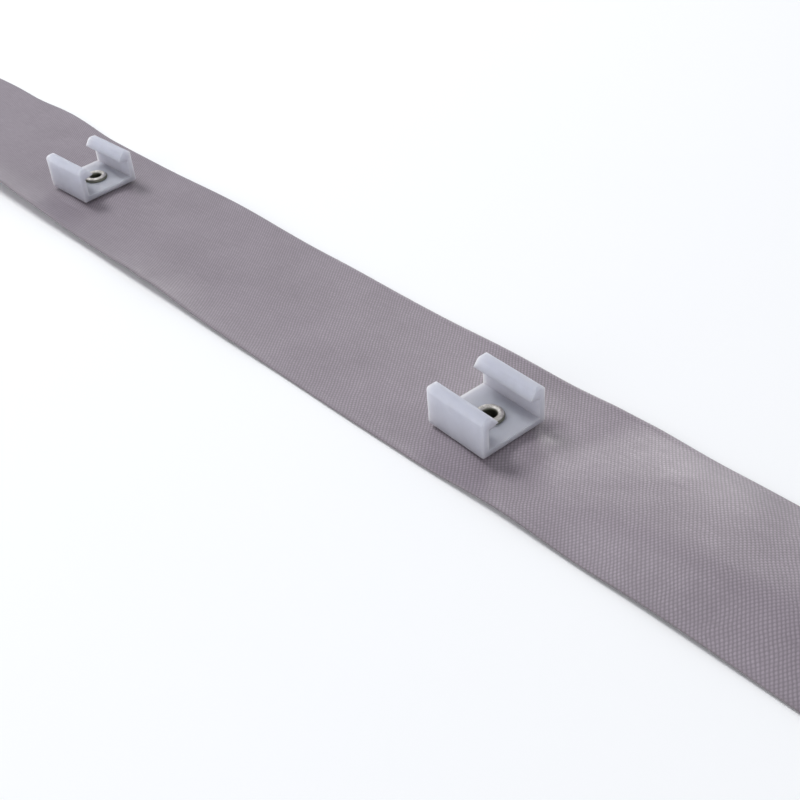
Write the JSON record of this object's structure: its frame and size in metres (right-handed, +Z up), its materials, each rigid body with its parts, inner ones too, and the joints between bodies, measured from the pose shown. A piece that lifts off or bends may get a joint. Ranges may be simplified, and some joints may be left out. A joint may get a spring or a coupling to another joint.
{
  "type": "curtain carrier tape length",
  "caption": "Cut length of flat woven curtain tape lying in shallow waves, with moulded C-section carriers riveted through its middle line",
  "frame": {"origin": "middle of the tape's underside, on the surface that the tape lies on", "axes": "X along the tape through both rivets, Y across the tape, Z up out of the carriers' open channels"},
  "size_m": [0.25, 0.025, 0.0074],
  "materials": {
    "woven_tape": "fine plain weave of grey polyester with a soft sheen",
    "milky_plastic": "milky, slightly translucent moulded plastic",
    "nickel": "nickel-plated, rolled bright"
  },
  "bodies": {
    "root": {"tape": "woven_tape", "carrier_1": "milky_plastic", "carrier_2": "milky_plastic", "rivet_1": "nickel", "rivet_2": "nickel"}
  },
  "joints": []
}
